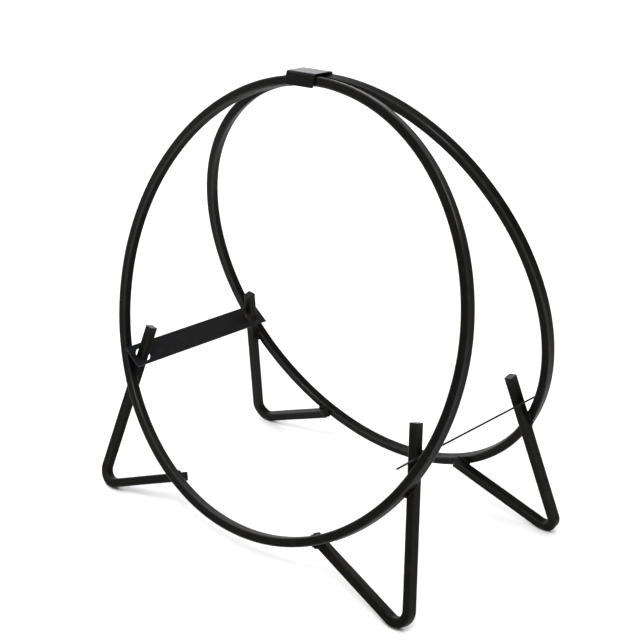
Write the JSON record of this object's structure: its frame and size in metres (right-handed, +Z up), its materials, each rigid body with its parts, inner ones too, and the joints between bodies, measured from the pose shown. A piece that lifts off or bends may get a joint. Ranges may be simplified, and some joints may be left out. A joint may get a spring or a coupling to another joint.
{
  "type": "firewood log rack",
  "caption": "Firewood rack: round hoops of square bar lean together on V-shaped legs, held apart by flat spreader bars and joined at the top by a bent clip.",
  "frame": {"origin": "on the floor, midway between the feet", "axes": "+Z up, Y through the hoops along the logs with the front hoop at -Y, +X across the hoops to the right"},
  "size_m": [0.61, 0.3528, 0.6202],
  "materials": {
    "bar_paint": "satin black paint on solid square bar, worn a little at the edges and feet",
    "weld_paint": "satin black paint over rippled fillet welds",
    "flat_bar_paint": "satin black paint on flat bar, rubbed where the posts pass through",
    "clip_paint": "smooth satin black paint on bent sheet"
  },
  "bodies": {
    "rack": {"front_hoop": "bar_paint", "rear_hoop": "bar_paint", "front_left_leg": "bar_paint", "front_right_leg": "bar_paint", "rear_left_leg": "bar_paint", "rear_right_leg": "bar_paint", "front_left_welds": "weld_paint", "front_right_welds": "weld_paint", "rear_left_welds": "weld_paint", "rear_right_welds": "weld_paint", "left_spreader_bar": "flat_bar_paint", "right_spreader_bar": "flat_bar_paint"},
    "clip": {"top_clip": "clip_paint"}
  },
  "joints": [
    {"name": "clip_lift", "type": "slide", "parent": "rack", "child": "clip", "axis": [0, 0, 1], "range_m": [0, 0.05]}
  ]
}
